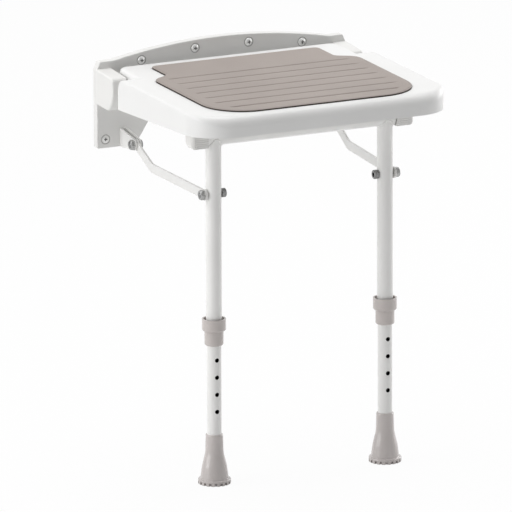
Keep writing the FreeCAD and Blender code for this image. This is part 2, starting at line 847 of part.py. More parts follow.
def strut():
    """Right strut: flat dog-leg bar with an eye at each end, drawn in towards the leg."""
    rear = FreeCAD.Vector(hinge_y, strut_pivot_z, 0)
    elbow = FreeCAD.Vector(hinge_y - elbow_out, strut_pivot_z - elbow_drop, 0)
    front = FreeCAD.Vector(bar_y, leg_bolt_z, 0)
    first = (elbow - rear).normalize()
    second = (front - elbow).normalize()
    up_first = FreeCAD.Vector(-first.y, first.x, 0)
    up_second = FreeCAD.Vector(-second.y, second.x, 0)
    middle = (up_first + up_second).normalize()
    half = strut_width / 2
    mitre = half / (middle * up_first)
    side = [rear + up_first * half, elbow + middle * mitre, front + up_second * half]
    other = [front - up_second * half, elbow - middle * mitre, rear - up_first * half]
    low_radius = elbow_radius
    corners = [
        (side[0].x, side[0].y, 0),
        (side[1].x, side[1].y, low_radius),
        (side[2].x, side[2].y, 0),
        (other[0].x, other[0].y, 0),
        (other[1].x, other[1].y, low_radius),
        (other[2].x, other[2].y, 0),
    ]
    reach = 20.0
    bar = slab(corners, on_side(leg_x), AXIS_X * 40)
    for pivot in (rear, front):
        bar = bar.fuse(rod(strut_eye / 2, leg_x, leg_x + 40, AXIS_X, (0, pivot.x, pivot.y)))
    half_thick = strut_thick / 2
    centre = [
        (strut_rear_x, hinge_y + reach),
        (strut_rear_x, hinge_y - strut_pad),
        (strut_front_x, bar_y + strut_pad),
        (strut_front_x, bar_y - reach),
    ]
    bend = [0, strut_set, strut_set, 0]
    outer = [(x + half_thick, y, r) for (x, y), r in zip(centre, bend)]
    inner = [(x - half_thick, y, r) for (x, y), r in zip(centre, bend)]
    low = leg_bolt_z - elbow_drop - strut_eye
    high = strut_pivot_z + strut_eye
    band = slab(outer + inner[::-1], on_plan(low), AXIS_Z * (high - low))
    bar = bar.common(band)
    bar = bar.cut(rod(bolt_radius + running, leg_x, leg_x + 40, AXIS_X, (0, rear.x, rear.y)))
    return bar.cut(rod(bolt_radius + open_pivot, leg_x, leg_x + 40, AXIS_X, (0, front.x, front.y)))


def clevis():
    """Right wall bracket: two sloped ears on a common root, bored for the strut's bolt."""
    gap = strut_thick / 2 + washer_thick + washer_play
    outer = gap + ear_thick
    root = strut_pivot_z + ear_root_up
    nose_y = hinge_y - ear_nose
    profile = [
        (plate_face, root - ear_rise, 0),
        (plate_face, root, 0),
        (nose_y, strut_pivot_z + ear_nose, ear_round),
        (nose_y, strut_pivot_z - ear_nose, ear_round),
    ]
    body = slab(profile, on_side(strut_rear_x - outer), AXIS_X * (2 * outer))
    slot = box(
        strut_rear_x - gap, strut_rear_x + gap,
        nose_y - 5, plate_face - ear_thick,
        root - ear_rise - 5, root + 20,
    )
    body = body.cut(slot)
    span = (strut_rear_x - 20, strut_rear_x + 20)
    return body.cut(rod(bolt_radius + running, *span, AXIS_X, (0, hinge_y, strut_pivot_z)))


def pivot_bolt(height, head_face, end, place):
    """A bolt along +X: cap head with a hex socket inboard, and a chamfered end outboard."""
    head = rod(head_size / 2, head_face - height, head_face, AXIS_X, place)
    crown = edges_where(head, lambda e, m: abs(m.x - (head_face - height)) < 0.01)
    head = head.makeFillet(head_edge, crown)
    shank = rod(bolt_radius, head_face, end, AXIS_X, place)
    tip = edges_where(shank, lambda e, m: abs(m.x - end) < 0.01)
    bolt = head.fuse(shank.makeChamfer(bolt_chamfer, tip))
    across = socket_width / 2
    angles = [math.radians(60 * i + 30) for i in range(6)]
    radius = across / math.cos(math.radians(30))
    hexagon = [(place[1] + radius * math.cos(a), place[2] + radius * math.sin(a), 0) for a in angles]
    start = head_face - height
    depth = height * socket_share
    return bolt.cut(slab(hexagon, on_side(start - 0.5), AXIS_X * (depth + 0.5)))


def pivot_nut(start, place):
    """A hexagon nut with chamfered corners."""
    radius = nut_width / 2 / math.cos(math.radians(30))
    angles = [math.radians(60 * i) for i in range(6)]
    hexagon = [(place[1] + radius * math.cos(a), place[2] + radius * math.sin(a), 0) for a in angles]
    body = slab(hexagon, on_side(start), AXIS_X * nut_height)
    cone_end = start + nut_height
    length = nut_height * 1.6
    foot_of_cone = FreeCAD.Vector(cone_end - length, place[1], place[2])
    trim = Part.makeCone(radius + nut_height, nut_width / 2 - nut_chamfer, length, foot_of_cone, AXIS_X)
    body = body.common(trim)
    return body.cut(rod(bolt_radius, start - 1, start + nut_height + 1, AXIS_X, place))


def clevis_sizes():
    """Inner and outer faces of the wall bracket."""
    outer = strut_thick / 2 + washer_thick + washer_play + ear_thick
    return strut_rear_x - outer, strut_rear_x + outer


def clevis_bolt():
    """Right bolt through the wall bracket."""
    inner, outer = clevis_sizes()
    end = outer + nut_height + bolt_end
    return pivot_bolt(low_head_height, inner, end, (0, hinge_y, strut_pivot_z))


def clevis_nut():
    """Its nut, on the outer ear."""
    return pivot_nut(clevis_sizes()[1], (0, hinge_y, strut_pivot_z))


def clevis_washers():
    """Two thin plastic washers beside the strut, inside the right bracket."""
    place = (0, hinge_y, strut_pivot_z)
    gap = strut_thick / 2 + washer_play
    outer = washer_size / 2
    hole = bolt_radius + running
    return Part.makeCompound([
        ring(outer, hole, strut_rear_x - gap - washer_thick, strut_rear_x - gap, AXIS_X, place),
        ring(outer, hole, strut_rear_x + gap, strut_rear_x + gap + washer_thick, AXIS_X, place),
    ])


def leg_stack():
    """Faces of the washers and nut on the right leg bolt, outwards from the leg."""
    leg_face = leg_x + upper_radius
    strut_inner = leg_face + washer_thick + washer_play
    strut_outer = strut_inner + strut_thick
    washer = strut_outer + washer_play
    return leg_face, washer, washer + washer_thick


def leg_bolt():
    """Right leg bolt, through the leg and the strut."""
    nut_face = leg_stack()[2]
    place = (0, bar_y, leg_bolt_z)
    return pivot_bolt(head_height, leg_x - upper_radius, nut_face + nut_height + bolt_end, place)


def leg_nut():
    """Its nut, outside the strut."""
    return pivot_nut(leg_stack()[2], (0, bar_y, leg_bolt_z))


def leg_washers():
    """A thin washer on each side of the strut."""
    place = (0, bar_y, leg_bolt_z)
    outer = washer_size / 2
    hole = bolt_radius + running
    first, second, _ = leg_stack()
    return Part.makeCompound([
        ring(outer, hole, first, first + washer_thick, AXIS_X, place),
        ring(outer, hole, second, second + washer_thick, AXIS_X, place),
    ])


def block_screws():
    """Two screws up through each block into the seat."""
    solids = []
    for y in block_screw_rows():
        place = (block_inner + block_width / 2, y, 0)
        seat = bar_z - block_under + block_screw_sink
        shank = rod(block_screw / 2, seat, block_top(y) + block_screw_grip - 1, AXIS_Z, place)
        head = rod(block_screw_head / 2, seat - block_screw_head_height, seat, AXIS_Z, place)
        solids.append(head.fuse(shank))
    return Part.makeCompound(solids)


# Write the sub-parts

save("wall_plate", wall_plate())
save("wall_screws", wall_screws())
save("lug_screws", lug_screws())
save("seat_shell", seat_shell())
save("seat_mat", seat_mat())
save("crossbar", crossbar())

pairs = {
    "hinge_lug": hinge_lug,
    "hinge_pin": hinge_pin,
    "hinge_bush": hinge_bush,
    "bearing_block": bearing_block,
    "journal": journal,
    "upper_leg": upper_leg,
    "leg_collar": leg_collar,
    "lower_leg": lower_leg,
    "lock_spring": lock_spring,
    "foot": foot,
    "foot_disc": foot_disc,
    "strut": strut,
    "clevis": clevis,
}
for name, make in pairs.items():
    right = make()
    save(name + "_right", right)
    save(name + "_left", mirrored_x(right))

save("clevis_bolts", both_sides(clevis_bolt()))
save("clevis_nuts", both_sides(clevis_nut()))
save("clevis_washers", both_sides(clevis_washers()))
save("leg_bolts", both_sides(leg_bolt()))
save("leg_nuts", both_sides(leg_nut()))
save("leg_washers", both_sides(leg_washers()))
save("block_screws", both_sides(block_screws()))
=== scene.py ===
import math

import bmesh
import bpy
import numpy as np
from mathutils import Matrix, Vector


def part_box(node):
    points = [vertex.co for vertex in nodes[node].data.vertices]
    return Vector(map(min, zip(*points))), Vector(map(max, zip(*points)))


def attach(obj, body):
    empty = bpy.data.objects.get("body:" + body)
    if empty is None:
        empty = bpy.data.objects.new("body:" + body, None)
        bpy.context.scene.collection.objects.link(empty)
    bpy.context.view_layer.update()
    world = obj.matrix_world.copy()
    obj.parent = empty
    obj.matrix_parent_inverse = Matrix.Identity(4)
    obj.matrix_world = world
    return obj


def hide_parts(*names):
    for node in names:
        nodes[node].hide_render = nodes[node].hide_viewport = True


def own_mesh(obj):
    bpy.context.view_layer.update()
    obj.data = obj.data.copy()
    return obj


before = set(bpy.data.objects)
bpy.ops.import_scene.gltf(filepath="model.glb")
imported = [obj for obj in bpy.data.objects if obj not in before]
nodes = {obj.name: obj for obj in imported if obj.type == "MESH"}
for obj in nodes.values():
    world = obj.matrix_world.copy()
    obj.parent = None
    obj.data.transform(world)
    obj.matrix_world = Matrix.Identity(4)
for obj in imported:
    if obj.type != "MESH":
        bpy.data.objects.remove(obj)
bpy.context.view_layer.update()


# Wall plate: sheet steel pressed into a shallow tray and powder coated in satin white. The coat
# is sprayed on and baked, so it keeps a faint ripple. Six screws hold the plate to the wall, and
# the sheet is dished round each hole. A dark grey ring is painted round each hole as painted
# shadow of the dish.

class Tone:
    """A shader socket. Sums, products and the like of these add Math nodes to the material."""

    def __init__(self, tree, socket=None):
        self.tree = tree
        self.socket = socket

    def node(self, kind, values=None, out=0, **settings):
        """Add one node: its settings first, then the values or links of its sockets."""
        made = self.tree.nodes.new(kind)
        for name, value in settings.items():
            setattr(made, name, value)
        for name, value in (values or {}).items():
            if isinstance(value, Tone):
                self.tree.links.new(value.socket, made.inputs[name])
            else:
                made.inputs[name].default_value = value
        return Tone(self.tree, made.outputs[out])

    def maths(self, operation, *values):
        """One Math node on the values given, of which this tone may be one."""
        return self.node("ShaderNodeMath", dict(enumerate(values)), operation=operation)

    def __add__(self, other):
        return self.maths("ADD", self, other)

    def __radd__(self, other):
        return self.maths("ADD", other, self)

    def __sub__(self, other):
        return self.maths("SUBTRACT", self, other)

    def __rsub__(self, other):
        return self.maths("SUBTRACT", other, self)

    def __mul__(self, other):
        return self.maths("MULTIPLY", self, other)

    def __rmul__(self, other):
        return self.maths("MULTIPLY", other, self)

    def maths_of(self, operation):
        """One Math node on this tone alone, such as its sine or square root."""
        return self.maths(operation, self)

    def __abs__(self):
        return self.maths_of("ABSOLUTE")

    def larger(self, other):
        """The larger of two tones at each point."""
        return self.maths("MAXIMUM", self, other)

    def along(self, axis):
        """One coordinate of a place."""
        return self.node("ShaderNodeSeparateXYZ", {"Vector": self}, out="XYZ".index(axis))

    def step(self, low, high):
        """0 below low and 1 above high, with a smooth rise between them."""
        return self.node(
            "ShaderNodeMapRange",
            {"Value": self, "From Min": low, "From Max": high},
            interpolation_type="SMOOTHSTEP",
        )

    def band(self, low, high):
        """1 midway between low and high, and 0 outside them."""
        middle = (low + high) / 2
        return self.step(low, middle) * (1.0 - self.step(middle, high))

    def mix(self, low, high):
        """The colour low where this is 0, and high where it is 1."""
        low, high = ((*c, 1.0) if isinstance(c, tuple) else c for c in (low, high))
        return self.node("ShaderNodeMix", {0: self, 6: low, 7: high}, out=2, data_type="RGBA")


def new_material(name, metallic=0.0, coat=0.0, coat_roughness=0.2):
    """An empty material with one Principled shader, and the place of a point on the piece."""
    material = bpy.data.materials.new(name)
    material.use_nodes = True
    tree = material.node_tree
    tree.nodes.clear()
    shader = tree.nodes.new("ShaderNodeBsdfPrincipled")
    output = tree.nodes.new("ShaderNodeOutputMaterial")
    tree.links.new(shader.outputs[0], output.inputs[0])
    shader.inputs["Metallic"].default_value = metallic
    shader.inputs["Coat Weight"].default_value = coat
    shader.inputs["Coat Roughness"].default_value = coat_roughness
    shader.inputs["IOR"].default_value = 1.5
    return material, shader, Tone(tree).node("ShaderNodeTexCoord", out="Object")


def feed(shader, **links):
    """Link tones into the shader's sockets. Base_Color stands for Base Color."""
    for name, tone in links.items():
        tone.tree.links.new(tone.socket, shader.inputs[name.replace("_", " ")])


def noise(place, scale, detail=2.0, roughness=0.5):
    """Value noise in space, from 0 to 1. scale is in waves to the metre."""
    return place.node(
        "ShaderNodeTexNoise",
        {"Vector": place, "Scale": scale, "Detail": detail, "Roughness": roughness},
    )


def bump(height, distance, under=None):
    """A normal from a height. distance is the real height in metres of a height of 1."""
    values = {"Height": height, "Distance": distance}
    if under is not None:
        values["Normal"] = under
    return height.node("ShaderNodeBump", values)


def dress(material, slot, *names):
    """Give CAD nodes their finish."""
    for name in names:
        piece = nodes[name]
        piece.data.materials.clear()
        piece.data.materials.append(material)


def powder_coat(name, colour, shade, roughness, dark=None, dish=None):
    """Baked powder coat: an even ripple, a finer grain, and slow changes of tone.

    dark is 1 inside a tube, where the coat's tone is swapped for near black as painted shade.
    dish is 1 round a dished screw hole, which dents the coat and is painted dark grey there as
    painted shadow.
    """
    material, shader, place = new_material(name, coat=0.25, coat_roughness=0.22)
    cloud = noise(place, 14.0, 3.0)
    grain = noise(place, 1900.0, 2.0)
    ripple = noise(place, 620.0, 1.0)
    tone = (cloud * 0.75 + grain * 0.25).step(0.3, 0.75).mix(shade, colour)
    normal = bump(ripple * 0.7 + grain * 0.3, 0.00006)
    if dark:
        # Painted shade: inside the tube the tone is mixed to near black.
        tone = dark(place).mix(tone, (0.02, 0.02, 0.02))
    if dish:
        hollow = dish(place)
        # Painted shadow: the ring round each screw hole is mixed towards dark grey.
        tone = (hollow * 0.75).mix(tone, (0.22, 0.215, 0.205))
        normal = bump(1.0 - hollow, 0.0005, normal)
    feed(shader, Base_Color=tone, Roughness=roughness + 0.08 * cloud + 0.05 * grain, Normal=normal)
    return material


plate_face = -0.012
arch_top, arch_radius = 0.0505, 0.815        # the plate's upper edge is one long arc
screw_edge = 0.012                           # arch screws, in from that edge
arch_screws = [
    (x, arch_top - arch_radius + math.sqrt((arch_radius - screw_edge) ** 2 - x ** 2))
    for x in (-0.126, -0.042, 0.042, 0.126)
]
low_screws = [(-0.1825, -0.081), (0.1825, -0.081)]
dish_inner, dish_outer = 0.0053, 0.0076


def screw_dishes(place):
    """1 in a ring round each screw on the plate's face. Both halves of the plate are alike."""
    x, z = abs(place.along("X")), place.along("Z")
    rings = []
    for centre_x, centre_z in (arch_screws[2], arch_screws[3], low_screws[1]):
        away_x, away_z = x - centre_x, z - centre_z
        distance = (away_x * away_x + away_z * away_z).maths_of("SQRT")
        rings.append(distance.band(dish_inner, dish_outer))
    return rings[0].larger(rings[1]).larger(rings[2])


plate_coat = powder_coat(
    "plate powder coat", (0.80, 0.795, 0.78), (0.755, 0.75, 0.735), 0.38, dish=screw_dishes,
)
dress(plate_coat, "white_paint", "wall_plate")


# Wall screws: pan heads on the arch and raised countersunk heads low down, all zinc plated steel
# with a pressed cross recess. They are driven through the plate into the wall, and each thread
# is shown as far as it stands past the wall plane.

def zinc_plate(name, colour, shade, roughness=0.3, recess=None):
    """Bright zinc: cloudy bloom, fine random scuffs, and a slightly darker tone in the clouds.

    recess names a mark on the piece's points that is 1 inside a screw's cross, where the zinc is
    rougher and its tone is painted dark grey as painted shade.
    """
    material, shader, place = new_material(name, metallic=1.0)
    bloom = noise(place, 420.0, 4.0, 0.6)
    scuff = noise(place, 5200.0, 2.0)
    tone = bloom.step(0.35, 0.7).mix(shade, colour)
    rough = roughness - 0.06 + 0.16 * bloom + 0.06 * scuff
    if recess:
        recess_shade = place.node("ShaderNodeAttribute", out="Fac", attribute_name=recess)
        # Painted shade: the cross recess is mixed towards dark grey.
        tone = recess_shade.mix(tone, (0.24, 0.24, 0.235))
        rough = rough + 0.2 * recess_shade
    feed(shader, Base_Color=tone, Roughness=rough, Normal=bump(scuff, 0.00001))
    return material


def skin(name, *grids, sharp=None):
    """A piece from grids of points, each rows x columns x 3.

    Faces join neighbours in a grid, and points that meet are welded. Edges that turn by more
    than sharp degrees stay crisp.
    """
    points, faces, start = [], [], 0
    for grid in grids:
        rows, columns, _ = grid.shape
        index = start + np.arange(rows * columns).reshape(rows, columns)
        corners = (index[:-1, :-1], index[1:, :-1], index[1:, 1:], index[:-1, 1:])
        faces.append(np.stack(corners, -1).reshape(-1, 4))
        points.append(grid.reshape(-1, 3))
        start += rows * columns
    mesh = bpy.data.meshes.new(name)
    mesh.from_pydata(np.vstack(points).tolist(), [], np.vstack(faces).tolist())
    weld = bmesh.new()
    weld.from_mesh(mesh)
    bmesh.ops.remove_doubles(weld, verts=weld.verts, dist=1e-6)
    bmesh.ops.recalc_face_normals(weld, faces=weld.faces)
    weld.to_mesh(mesh)
    weld.free()
    mesh.shade_smooth()
    if sharp:
        mesh.set_sharp_from_angle(angle=math.radians(sharp))
    piece = bpy.data.objects.new(name, mesh)
    bpy.context.scene.collection.objects.link(piece)
    return piece


def turned(place, axis, reach, radius, angles):
    """Points of a turned piece: rows along its axis, and columns round it.

    A point is the place, plus its reach along the axis, plus its radius along the unit vector
    that turns about the axis with the angle. Radius and reach may change with the angle.
    """
    axis = np.array(axis, float)
    aside = np.cross(axis, (0.0, 0.0, 1.0))
    upward = np.cross(aside, axis)
    reach, radius = (np.asarray(v, float) + 0.0 * angles for v in (reach, radius))
    across = np.cos(angles)[:, None] * aside + np.sin(angles)[:, None] * upward
    return np.array(place) + reach[..., None] * axis + radius[..., None] * across


def thread(length, pitch, crest, root, angles):
    """Reach and radius of a thread: the radius falls from crest to root and back once a pitch.

    The wave's phase is the reach over the pitch, less the angle over a full turn, so that the
    groove climbs one pitch each turn. There are seven rows to a pitch.
    """
    reach = np.arange(0.0, length, pitch / 7)[:, None]
    phase = (reach / pitch - angles / (2 * math.pi)) % 1.0
    return reach, root + (crest - root) * np.abs(2 * phase - 1) ** 1.5


screw_angles = np.linspace(0.0, 2 * math.pi, 73)
screw_head, screw_shank, screw_crest, screw_root = 0.0055, 0.003, 0.0025, 0.0017   # radii
screw_tip = 0.026                # plate's face to the thread's tip
screw_pitch = 0.0018
screw_point = 0.005              # length of the pointed end
screw_lap = 0.0001               # the head's edge, sunk in the coat
pan_rise, pan_neck = 0.0026, 0.0001          # domed head, and the neck under it
sunk_rise, sunk_neck = 0.0009, 0.0025        # raised countersunk head
recess_half, recess_reach, recess_deep = 0.0008, 0.0026, 0.0018
recess_slope, recess_end = 0.0003, 0.0007    # sloped walls and ends of the cross


def cross_recess(radius, angles):
    """Depth of the cross: full along two crossed slots, with sloped walls and sloped far ends."""
    x, y = np.abs(radius * np.cos(angles)), np.abs(radius * np.sin(angles))
    wall = np.clip((recess_half - np.minimum(x, y)) / recess_slope, 0.0, 1.0)
    end = np.clip((recess_reach - radius) / recess_end, 0.0, 1.0)
    return recess_deep * wall * end


def crown_height(radius, rise):
    """A head's height over its edge: the cap of a sphere that stands as high as the rise."""
    ball = (screw_head ** 2 + rise ** 2) / (2 * rise)
    return np.sqrt(ball ** 2 - radius ** 2) - ball + rise


def wall_screw(x, z, rise, neck):
    """A screw from tip to crown: taper, thread, plain shank, sloped neck and domed head.

    The thread's wave is drawn in to a point by the 0.6 power of its share of the pointed end.
    The head is its crown's height less the depth of the cross.
    """
    along, wave = thread(
        screw_tip + plate_face, screw_pitch, screw_crest, screw_root, screw_angles,
    )
    taper = np.clip(along / screw_point, 0.02, 1.0) ** 0.6
    rim, well = np.linspace(screw_head, recess_reach, 9), np.linspace(recess_reach, 0.0, 16)
    rings = np.concatenate([rim, well[1:]])[:, None]
    level = 0.0 * screw_angles
    reach = np.vstack([
        level - screw_tip,
        level + along - screw_tip,
        level + np.array([[plate_face], [-neck], [-screw_lap]]),
        crown_height(rings, rise) - cross_recess(rings, screw_angles),
    ])
    radius = np.vstack([
        level,
        wave * taper,
        level + np.array([[screw_shank], [screw_shank], [screw_head]]),
        level + rings,
    ])
    return turned((x, plate_face, z), (0.0, -1.0, 0.0), reach, radius, screw_angles)


def points_of(piece):
    """Every point of a piece's mesh, as rows of x, y and z."""
    points = np.empty(len(piece.data.vertices) * 3, np.float32)
    piece.data.vertices.foreach_get("co", points)
    return points.reshape(-1, 3)


def mark(piece, name, values):
    """Keep a number on each point of a piece, for its material to read."""
    kept = piece.data.attributes.new(name, "FLOAT", "POINT")
    kept.data.foreach_set("value", values.astype(np.float32))


def in_recess(points):
    """1 within the cross of the nearest screw, and 0 on its crown: how far under it a point is."""
    away = np.linalg.norm(points[:, None, ::2] - np.array(arch_screws + low_screws), axis=-1)
    is_pan = away.argmin(1) < len(arch_screws)
    radius = np.minimum(away.min(1), screw_head)
    crown = plate_face - crown_height(radius, np.where(is_pan, pan_rise, sunk_rise))
    under = np.clip((points[:, 1] - crown) / 0.0006, 0.0, 1.0)
    return under * (radius < recess_reach + 0.0002)


screws = skin(
    "wall_screw_set",
    *(wall_screw(x, z, pan_rise, pan_neck) for x, z in arch_screws),
    *(wall_screw(x, z, sunk_rise, sunk_neck) for x, z in low_screws),
    sharp=40,
)
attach(screws, "wall_mount")
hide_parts("wall_screws")
mark(screws, "recess", in_recess(points_of(screws)))
screw_zinc = zinc_plate(
    "screw zinc", (0.82, 0.82, 0.81), (0.66, 0.66, 0.65), 0.33, recess="recess",
)
screws.data.materials.append(screw_zinc)


# Hinge lugs: two white nylon blocks, moulded with a fine spark texture and screwed to the plate
# from behind. Each holds a steel hinge pin that turns in a bush in the side of the seat's neck.

def moulded(name, colour, shade, roughness, grain_scale, grain_height, coat=0.0, ribs=None):
    """Moulded plastic: a fine spark texture, and slow changes of tone where the melt cooled.

    ribs gives the height of fine moulded ribs, from 0 between them to 1 on them, and on every
    face that has none. They stand 0.35 mm high. Between them the tone is painted down to nine
    tenths of shade, as painted shade in the grooves.
    """
    material, shader, place = new_material(name, coat=coat)
    flow = noise(place, 9.0, 2.0)
    spark = noise(place, grain_scale, 3.0, 0.6)
    normal = bump(spark, grain_height)
    tone = (flow * 0.7 + spark * 0.3).step(0.3, 0.72).mix(shade, colour)
    if ribs:
        rib = ribs(place)
        normal = bump(rib, 0.00035, normal)
        # Painted shade: the grooves between ribs are darkened.
        tone = rib.mix(tuple(0.9 * c for c in shade), tone)
    feed(shader, Base_Color=tone, Roughness=roughness + 0.08 * flow + 0.08 * spark, Normal=normal)
    return material


nylon = moulded("white nylon", (0.82, 0.815, 0.80), (0.78, 0.775, 0.757), 0.38, 2400.0, 0.00004)
dress(nylon, "white_block", "hinge_lug_right", "hinge_lug_left")
zinc = zinc_plate("bright zinc", (0.80, 0.80, 0.79), (0.62, 0.62, 0.61))
dress(zinc, "zinc", "lug_screws", "hinge_pin_right", "hinge_pin_left")
bush = moulded("bush plastic", (0.72, 0.715, 0.69), (0.64, 0.635, 0.61), 0.42, 3000.0, 0.00002)
dress(bush, "bush_plastic", "hinge_bush_right", "hinge_bush_left")


# Seat: one thick white moulding with a satin skin, stiffened by five channels underneath. It
# turns on the pins by two bushes pressed into the sides of its neck.

shell_white = moulded(
    "seat moulding", (0.84, 0.838, 0.83), (0.815, 0.812, 0.803), 0.28, 1500.0, 0.00003, coat=0.2,
)
dress(shell_white, "white_shell", "seat_shell")


# Mat: a sheet of closed-cell foam with a heat-sealed skin, cut to shape and glued into the seat's
# recess. Seven shallow grooves are pressed across it to drain water, its rim is bevelled all
# round, and its raw cut edge draws in a little underneath. That cut edge is coloured near black,
# partly the foam's own darker open cells and partly painted shade of the gap round the mat.

mat_low, mat_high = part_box("seat_mat")
mat_corners = [                  # right half of the outline from the rear: x, y and radius
    (0.0, mat_high.y, 0.0),
    (0.1315, mat_high.y, 0.009),
    (0.1315, -0.1097, 0.012),
    (mat_high.x, -0.1253, 0.024),
    (mat_high.x, mat_low.y, 0.063),
    (0.0, mat_low.y, 0.0),
]
groove_rows = -0.136 - 0.0306 * np.arange(7)
groove_deep, groove_half = 0.0015, 0.0024
groove_inset, groove_fade = 0.0175, 0.005    # a groove's end, in from the side, and its run-out
mat_rim, mat_fall = 0.0018, 0.0011           # bevelled top edge, in and down
mat_draw = 0.0007                            # the cut edge draws in under it
mat_crown = 0.0003


def rounded_side(corners, steps=14):
    """Samples of a rounded outline with the outside on its left: x, y and outward normal.

    Each corner is an arc that touches the runs beside it. A point of the arc is its centre plus
    or minus the radius along the normal, which turns evenly from one run's to the next's.
    """
    samples = []
    for before, corner, after in zip(corners, corners[1:], corners[2:]):
        run_in = np.subtract(corner[:2], before[:2])
        run_in = run_in / np.linalg.norm(run_in)
        run_out = np.subtract(after[:2], corner[:2])
        run_out = run_out / np.linalg.norm(run_out)
        turn = math.atan2(run_in[0] * run_out[1] - run_in[1] * run_out[0], run_in @ run_out)
        reach = math.copysign(corner[2], turn)
        left = np.array([-run_in[1], run_in[0]])
        centre = corner[:2] - run_in * corner[2] * math.tan(abs(turn) / 2) + left * reach
        angle = np.linspace(0.0, turn, steps)[:, None]
        normal = left * np.cos(angle) - run_in * np.sin(angle)
        samples.append(np.hstack([centre - reach * normal, normal]))
    return np.vstack(samples)


def mat_top(x, y, side_x):
    """Height over the mat's flat top: a low crown, less each groove's round, faded at its ends.

    The crown falls off with the fourth power of x and the sixth of y, as shares of the mat's
    half width and half length. A groove is a parabola across, and its ends fade smoothly.
    """
    length = (2.0 * y - mat_low.y - mat_high.y) / (mat_high.y - mat_low.y)
    crown = mat_crown * (1.0 - (x / side_x) ** 4) * (1.0 - length ** 6)
    near = np.abs(y[..., None] - groove_rows).min(-1)
    hollow = groove_deep * np.clip(1.0 - (near / groove_half) ** 2, 0.0, 1.0)
    fade = np.clip((side_x - groove_inset - np.abs(x)) / groove_fade, 0.0, 1.0)
    return crown - hollow * fade * fade * (3.0 - 2.0 * fade)


outline = rounded_side(mat_corners)
across_groove = np.linspace(-groove_half, groove_half, 9)
mat_rows = np.unique(np.concatenate([
    outline[:, 1],
    (groove_rows[:, None] + across_groove).ravel(),
    np.linspace(mat_high.y, mat_low.y, 60)[1:-1],
]))[::-1]
side_x, normal_x, normal_y = (
    np.interp(-mat_rows, -outline[:, 1], outline[:, i]) for i in (0, 2, 3)
)
mat_side = np.stack([side_x, mat_rows], -1)
outward = np.stack([normal_x, normal_y], -1)
outward /= np.linalg.norm(outward, axis=-1, keepdims=True)
mirror = np.array([-1.0, 1.0])
mat_columns = np.linspace(0.0, 1.0, 101)[None, :, None]


def mat_grid(inset):
    """Points in plan over the whole mat: rows across it, between its two sides less the inset."""
    edge = (mat_side - inset * outward)[:, None]
    return edge * mirror * (1.0 - mat_columns) + edge * mat_columns


def around(grid):
    """The border of a grid as one closed ring."""
    return np.concatenate([grid[0, :-1], grid[:-1, -1], grid[-1, :0:-1], grid[::-1, 0]])


def mat_ring(inset, level):
    """The mat's outline at one level, less the inset."""
    ring = around(mat_grid(inset))
    return np.column_stack([ring, np.full(len(ring), level)])


face = mat_grid(mat_rim)
flat = mat_high.z - mat_crown
top = np.dstack([face, flat + mat_top(face[..., 0], face[..., 1], side_x[:, None])])
bevel = np.array([(1.0, 0.0), (0.84, 0.06), (0.5, 0.36), (0.16, 0.72), (0.03, 0.9), (0.0, 1.0)])
wall = [around(top)] + [mat_ring(inset, flat - drop) for inset, drop in bevel * (mat_rim, mat_fall)]
wall += [
    mat_ring(mat_draw * (mat_high.z - level) / (mat_high.z - mat_low.z), level)
    for level in np.linspace(flat - mat_fall, mat_low.z, 5)[1:]
]
under = np.dstack([mat_grid(mat_draw), np.full(face.shape[:2], mat_low.z)])
mat = skin("foam_mat", top, np.array(wall), under)
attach(mat, "seat")
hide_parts("seat_mat")
below_skin = (flat - mat_fall * 0.8 - points_of(mat)[:, 2]) / (mat_fall * 0.2)
mark(mat, "cut_edge", np.clip(below_skin, 0.0, 1.0))


def foam(name, colour, shade, raw_and_shade):
    """Closed-cell foam: a pebbled skin, slow changes of tone, and open cells where it is cut."""
    material, shader, place = new_material(name)
    cut = place.node("ShaderNodeAttribute", out="Fac", attribute_name="cut_edge")
    slow = noise(place, 11.0, 2.0)
    pebble = noise(place, 1300.0, 3.0, 0.6)
    cells = place.node("ShaderNodeTexVoronoi", {"Vector": place, "Scale": 2600.0}, out="Distance")
    height = (1.0 - cut) * pebble + cut * cells
    feed(
        shader,
        # The cut edge's colour is near black: partly the raw foam's own tone, partly painted shade.
        Base_Color=cut.mix((slow * 0.6 + pebble * 0.4).step(0.3, 0.72).mix(shade, colour), raw_and_shade),
        Roughness=0.58 + 0.1 * pebble,
        Normal=bump(height, 0.00013),
    )
    return material


# The last colour is the cut edge: partly its own darker tone, partly painted shade.
mat_foam = foam("mat foam", (0.360, 0.313, 0.287), (0.320, 0.278, 0.254), (0.055, 0.042, 0.035))
mat.data.materials.append(mat_foam)


# Bar under the seat: aluminium tube in white powder coat. A plastic journal is pressed into each
# end and turns in a nylon block, which two screws hold to the seat's underside. The blocks'
# front faces are finely ribbed.

dress(bush, "bush_plastic", "journal_right", "journal_left")
dress(zinc, "zinc", "block_screws")
bar_y, bar_z = -0.268, -0.026
block_face = bar_y - 0.014
rib_pitch = 0.0029


def block_ribs(place):
    """Level ribs on the block's front face: a sine wave in height, from 0 to 1, and 1 behind it."""
    wave = (place.along("Z") * (2 * math.pi / rib_pitch)).maths_of("SINE") * 0.5 + 0.5
    behind = place.along("Y").step(block_face + 0.0001, block_face + 0.0004)
    return wave.larger(behind)


# The block's ribs get painted shade between them, darker in each groove.
block_nylon = moulded(
    "block nylon", (0.83, 0.822, 0.805), (0.785, 0.775, 0.755), 0.40, 2400.0, 0.00004,
    ribs=block_ribs,
)
dress(block_nylon, "white_block", "bearing_block_right", "bearing_block_left")


# Legs: an upper tube welded to the bar and a lower tube that slides in it, both aluminium with the
# same coat outside and none inside, where the bore is painted near black as painted shade. The
# weld is a rippled bead that follows the coped joint.

leg_x, leg_y = 0.1335, bar_y
tube_radius, bar_radius, bore_radius = 0.01125, 0.011, 0.0097
bead_radius = 0.0018
bead_ripples = 46


